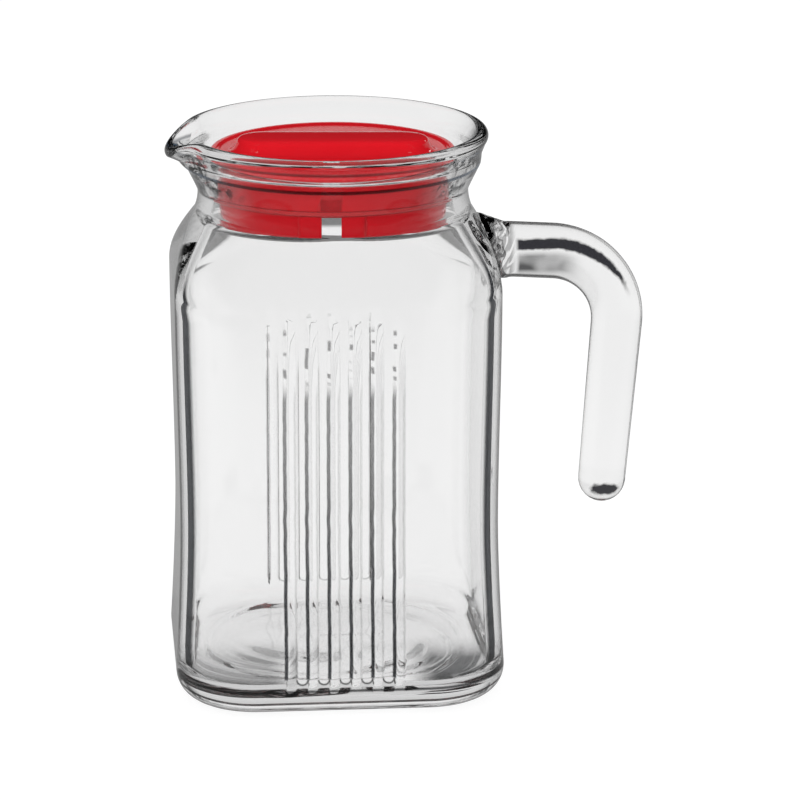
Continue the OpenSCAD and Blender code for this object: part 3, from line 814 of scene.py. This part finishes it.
def plug_profile():
    """The border, the edge of the flange, the band, the groove, the skirt and the plug's inside."""
    inner_r = FLANGE_R - BORDER_W - BORDER_H
    border = FLANGE_Z + BORDER_H
    return [(inner_r + 0.3, FLANGE_Z + 0.08), (inner_r + 0.55, FLANGE_Z + 0.35),
            (inner_r + 0.85, border - 0.08), (inner_r + 1.2, border), (FLANGE_R - 0.75, border),
            (FLANGE_R - 0.3, border - 0.12), (FLANGE_R - 0.07, border - 0.38),
            (FLANGE_R, border - 0.8), (FLANGE_R, SEAT_Z + 0.6),
            (FLANGE_R - 0.1, SEAT_Z + 0.2), (FLANGE_R - 0.4, SEAT_Z), (BAND_R + 0.6, SEAT_Z),
            (BAND_R + 0.12, SEAT_Z - 0.12), (BAND_R, SEAT_Z - 0.6), (BAND_R, RING_TOP + 0.7),
            (BAND_R - 0.1, RING_TOP + 0.2), (BAND_R - 0.4, RING_TOP), (GROOVE_R + 0.1, RING_TOP),
            (GROOVE_R, RING_TOP - 0.2), (GROOVE_R, RING_LOW + 0.2), (GROOVE_R + 0.1, RING_LOW),
            (SKIRT_R - 0.3, RING_LOW), (SKIRT_R - 0.06, RING_LOW - 0.15), (SKIRT_R, RING_LOW - 0.5),
            (SKIRT_R, PLUG_Z + 3.5), (SKIRT_R, PLUG_Z + 0.6), (SKIRT_R - 0.15, PLUG_Z + 0.15),
            (SKIRT_R - 0.5, PLUG_Z), (PLUG_IN + 0.4, PLUG_Z), (PLUG_IN + 0.1, PLUG_Z + 0.15),
            (PLUG_IN, PLUG_Z + 0.6), (PLUG_IN, SEAT_Z - 2.0), (PLUG_IN - 0.4, SEAT_Z - 0.5),
            (PLUG_IN - 1.4, SEAT_Z)]


def lid_rings():
    """Rings over the grip and the flange, down the plug, and up inside it into the hollow grip."""
    rings = grip_rings()
    last = rings[-1]
    angles = np.unwrap(np.arctan2(last[:, 1], last[:, 0]))
    circle = ring(FLANGE_R - BORDER_W - BORDER_H, FLANGE_Z, angles)
    rings += [last + (circle - last) * k for k in (0.12, 0.3, 0.5, 0.7, 0.88, 1.0)]
    rings += [ring(r, z, angles) for r, z in plug_profile()]
    inner = rings[-1]
    hollow = grip_ring(1.6, SEAT_Z)
    rings += [inner + (hollow - inner) * k for k in (0.3, 0.65, 1.0)]
    roof_inset, roof_z = 6.4, GRIP_TOP_Z - 1.6
    for inset, z in ((2.0, SEAT_Z + 0.3), (4.4, roof_z - 1.0), (5.2, roof_z - 0.15), (roof_inset, roof_z)):
        rings.append(grip_ring(inset, z))
    for k in (0.6, 0.3, 0.02):
        rings.append(grip_ring(roof_inset + (LID_GRIP_W / 2 - roof_inset) * (1 - k), roof_z))
    return rings


def block(name, low, high):
    """A closed box, for cutting."""
    (x0, y0, z0), (x1, y1, z1) = low, high
    points = [(x, y, z) for z in (z0, z1) for x, y in ((x0, y0), (x1, y0), (x1, y1), (x0, y1))]
    faces = [(3, 2, 1, 0), (4, 5, 6, 7), (0, 1, 5, 4), (1, 2, 6, 5), (2, 3, 7, 6), (3, 0, 4, 7)]
    made = make_object(name, points, faces)
    made.data.materials.append(LID_RED)
    return made


def leg(x0, x1):
    """A leg beside the slot: a bent block with a rounded front, from the plug's end to the ring."""
    outer, inner = SKIRT_R + LEG_OUT, SKIRT_R - 1.0
    low, high = PLUG_Z + 0.03, RING_LOW - RING_FIT
    round_r = 0.6
    rings = []
    for x in np.linspace(x0, x1, 13):
        edge = min(x - x0, x1 - x, round_r) / round_r
        front = -np.sqrt((outer - 0.35 * (1 - edge) ** 2) ** 2 - x ** 2)
        rear = -np.sqrt(inner ** 2 - x ** 2)
        rings.append(np.array([(x, rear, low), (x, rear, high), (x, front + 0.3, high),
                               (x, front + 0.07, high - 0.1), (x, front, high - 0.35),
                               (x, front, low + 0.35), (x, front + 0.07, low + 0.1),
                               (x, front + 0.3, low)]))
    points, faces = loft(rings)
    made = make_object("leg", points, faces)
    made.data.materials.append(LID_RED)
    return made


def turn(piece, degrees):
    """Turn a piece's mesh about the upright axis."""
    c, s = np.cos(np.radians(degrees)), np.sin(np.radians(degrees))
    flat = np.empty(3 * len(piece.data.vertices))
    piece.data.vertices.foreach_get("co", flat)
    turned = flat.reshape(-1, 3) @ np.array([[c, s, 0], [-s, c, 0], [0, 0, 1]])
    piece.data.vertices.foreach_set("co", turned.ravel())
    piece.data.update()


def make_lid():
    points, faces = loft(lid_rings())
    lid = make_object("lid_moulding", points, [tuple(reversed(f)) for f in faces])
    lid.data.materials.append(LID_RED)
    half = SLOT_W / 2
    combine(lid, leg(-half - LEG_W, -half + 0.4), "UNION")
    combine(lid, leg(half - 0.4, half + LEG_W), "UNION")
    slot = block("slot", (-half, -40, PLUG_Z - 2), (half, -PLUG_IN + 4, RING_LOW))
    recess = block("recess", (-half, -40, RING_TOP), (half, -BAND_R + RECESS_DEPTH, RING_TOP + RECESS_H))
    combine(lid, slot, "DIFFERENCE")
    combine(lid, recess, "DIFFERENCE")
    turn(lid, LID_TURN)
    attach(lid, "lid")
    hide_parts("lid_top", "lid_grip", "lid_plug")
    return lid


def make_ring():
    """The seal, a rounded band in the plug's groove."""
    angles = np.arange(LID_COLUMNS) / LID_COLUMNS * 2 * np.pi
    mid_z, half = (RING_LOW + RING_TOP) / 2, (RING_TOP - RING_LOW) / 2 - RING_FIT
    inner, outer = GROOVE_R + RING_FIT, BORE_R - RING_FIT
    mid_r, wide = (inner + outer) / 2, (outer - inner) / 2
    section = np.radians(np.arange(0, 360, 15))
    squareness = 0.6
    points, faces = [], []
    for t in section:
        r = mid_r + wide * np.sign(np.cos(t)) * abs(np.cos(t)) ** squareness
        z = mid_z + half * np.sign(np.sin(t)) * abs(np.sin(t)) ** squareness
        points.append(ring(r, z, angles))
    n, m = LID_COLUMNS, len(section)
    for j in range(m):
        for i in range(n):
            a, b, up = j * n + i, j * n + (i + 1) % n, (j + 1) % m * n
            faces.append((a, b, up + (i + 1) % n, up + i))
    seal = make_object("seal_ring", np.vstack(points), faces)
    seal.data.materials.append(RING_RED)
    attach(seal, "ring")
    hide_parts("sealing_ring")
    return seal


make_jug()
red_parts = bpy.data.collections.new("red_parts")
red_parts.objects.link(make_lid())
red_parts.objects.link(make_ring())


# The stage: a white floor, a white horizon and a dark ceiling with soft lamps

# How much of the white room is left in light that was thrown back inside the glass
THROWN_LIGHT = 0.75


def white_table():
    """A sheet that shows a faint shadow, and glows to the camera, through glass and in mirrors."""
    made, tree = new_material("white_table")
    path = node(tree, "ShaderNodeLightPath")
    seen = path["Is Camera Ray"].or_more(path["Is Glossy Ray"]).or_more(path["Is Transmission Ray"])
    plain = node(tree, "ShaderNodeBsdfDiffuse", Color=linear("#D9D9D9"))["BSDF"]
    # Glass shows the far part of the sheet a little darker, and mirrors less of it
    where = node(tree, "ShaderNodeNewGeometry")["Position"]
    reach = node(tree, "ShaderNodeVectorMath", {"operation": "LENGTH"}, Vector=where)["Value"]
    single = path["Transmission Depth"] < 2.5
    far = node(tree, "ShaderNodeMix", {"data_type": "FLOAT"}, Factor=single,
               A=share(reach, 1.2, 1.6, 0.83, 0.06), B=0.73)["Result"]
    y = node(tree, "ShaderNodeSeparateXYZ", Vector=where)["Y"]
    thrown = (path["Glossy Depth"] > 0.5) * share(y, -0.45, -0.2, 0.9, 1.0 - THROWN_LIGHT)
    mirrored = thrown.or_more(path["Is Reflection Ray"] * share(y, -0.28, -0.1, 0.97, 0.6))
    bright = node(tree, "ShaderNodeMix", {"data_type": "FLOAT"}, Factor=path["Is Camera Ray"],
                  A=far * (1.0 - mirrored), B=0.8)["Result"]
    glow = node(tree, "ShaderNodeEmission", Strength=bright)["Emission"]
    dim = node(tree, "ShaderNodeMix", {"data_type": "RGBA"}, Factor=mirrored, A=linear("#8C8C8C"),
               B=linear("#101010"))["Result"]
    faint = node(tree, "ShaderNodeBsdfDiffuse", Color=dim)["BSDF"]
    both = node(tree, "ShaderNodeAddShader", Shader=faint, Shader__1=glow)["Shader"]
    mixed = node(tree, "ShaderNodeMixShader", Fac=seen, Shader=plain, Shader__1=both)["Shader"]
    node(tree, "ShaderNodeOutputMaterial", Surface=mixed)
    return made


def make_floor():
    size, z = 6.0, -0.0004
    corners = [(-size, -size, z), (size, -size, z), (size, size, z), (-size, size, z)]
    mesh = bpy.data.meshes.new("floor")
    mesh.from_pydata(corners, [], [(0, 1, 2, 3)])
    mesh.materials.append(white_table())
    floor = bpy.data.objects.new("floor", mesh)
    bpy.context.scene.collection.objects.link(floor)


def make_world():
    world = bpy.data.worlds.new("studio")
    bpy.context.scene.world = world
    world.use_nodes = True
    tree = world.node_tree
    tree.nodes.clear()
    path = node(tree, "ShaderNodeLightPath")
    axes = node(tree, "ShaderNodeSeparateXYZ", Vector=node(tree, "ShaderNodeTexCoord")["Generated"])
    height = axes["Z"]
    # Seen past more than two faces of glass the room is dark at the horizon; its ceiling always is
    single = (path["Transmission Depth"] < 2.5) * 0.9
    white = share(height, 0.02, 0.09, 0.05, 0.9).or_more(single)
    through = white * share(height, 0.55, 0.75, 1.0, 0.045)
    room = node(tree, "ShaderNodeMix", {"data_type": "FLOAT"}, Factor=path["Is Reflection Ray"], A=through,
                B=share(height, 0.0, 0.12, 0.2, 0.02))["Result"]
    lost = (path["Glossy Depth"] > 0.5) * share(axes["Y"], -0.2, 0.2, 0.95, 1.0 - THROWN_LIGHT)
    # Matt surfaces get an even light, and the camera sees plain white
    value = node(tree, "ShaderNodeMix", {"data_type": "FLOAT"}, Factor=path["Diffuse Depth"] > 0.5,
                 A=room * (1.0 - lost), B=0.62)["Result"]
    value = node(tree, "ShaderNodeMix", {"data_type": "FLOAT"}, Factor=path["Is Camera Ray"], A=value,
                 B=1.0)["Result"]
    back = node(tree, "ShaderNodeBackground", Color=(1, 1, 1, 1), Strength=value)["Background"]
    node(tree, "ShaderNodeOutputWorld", Surface=back)


def lamp(name, place, target, size, power):
    """A soft lamp that neither mirrors nor glass show."""
    light = bpy.data.lights.new(name, "AREA")
    light.shape = "RECTANGLE"
    light.size, light.size_y = size
    light.energy = power
    made = bpy.data.objects.new(name, light)
    made.location = place
    made.rotation_euler = Vector(np.subtract(target, place)).to_track_quat("-Z", "Y").to_euler()
    made.visible_glossy = False
    made.visible_transmission = False
    bpy.context.scene.collection.objects.link(made)
    return made


def glint(name, place, size, power):
    """A small lamp that only the red parts mirror."""
    made = lamp(name, place, (0, 0, 0.165), size, power)
    made.visible_glossy = True
    made.light_linking.receiver_collection = red_parts


make_floor()
make_world()
glint("glint_left", (-0.45, -0.6, 0.95), (0.14, 0.06), 0.3)
glint("glint_right", (0.4, -0.55, 0.95), (0.14, 0.06), 0.3)
glint("glint_back", (0.72, 0.62, 0.6), (0.09, 0.06), 0.4)
lamp("key_softbox", (-0.9, -0.7, 1.1), (0, 0, 0.12), (0.5, 0.35), 5.0)
lamp("fill_softbox", (0.9, -0.8, 0.9), (0, 0, 0.12), (0.4, 0.4), 3.5)
lamp("back_softbox", (0.1, 1.1, 1.2), (0, 0, 0.14), (0.9, 0.25), 4.5)
lamp("front_softbox", (-0.3, -1.5, 0.2), (0, 0, 0.15), (0.6, 0.4), 12.0)

# Light is thrown to and fro many times in the thick base before it leaves
cycles = bpy.context.scene.cycles
cycles.max_bounces = 24
cycles.glossy_bounces = 16
cycles.transmission_bounces = 24

# The camera: 1.4 m away, 16 degrees above level and 5 degrees round to the spout's side
AZIMUTH, ELEVATION = np.radians(-4.64), np.radians(16.23)
DISTANCE = 1.405
FOCAL_LENGTH, SENSOR_W = 200.07, 36.0
SIDEWAYS, AIM_Z = 0.0209, 0.0876
camera_data = bpy.data.cameras.new("camera")
camera_data.sensor_width = SENSOR_W
camera_data.lens = FOCAL_LENGTH
camera = bpy.data.objects.new("camera", camera_data)
aim = np.array([SIDEWAYS * np.cos(AZIMUTH), SIDEWAYS * np.sin(AZIMUTH), AIM_Z])
back = np.array([np.sin(AZIMUTH) * np.cos(ELEVATION), -np.cos(AZIMUTH) * np.cos(ELEVATION),
                 np.sin(ELEVATION)])
camera.location = aim + DISTANCE * back
camera.rotation_euler = (np.pi / 2 - ELEVATION, 0, AZIMUTH)
bpy.context.scene.collection.objects.link(camera)
bpy.context.scene.camera = camera
bpy.context.scene.view_settings.view_transform = "Standard"
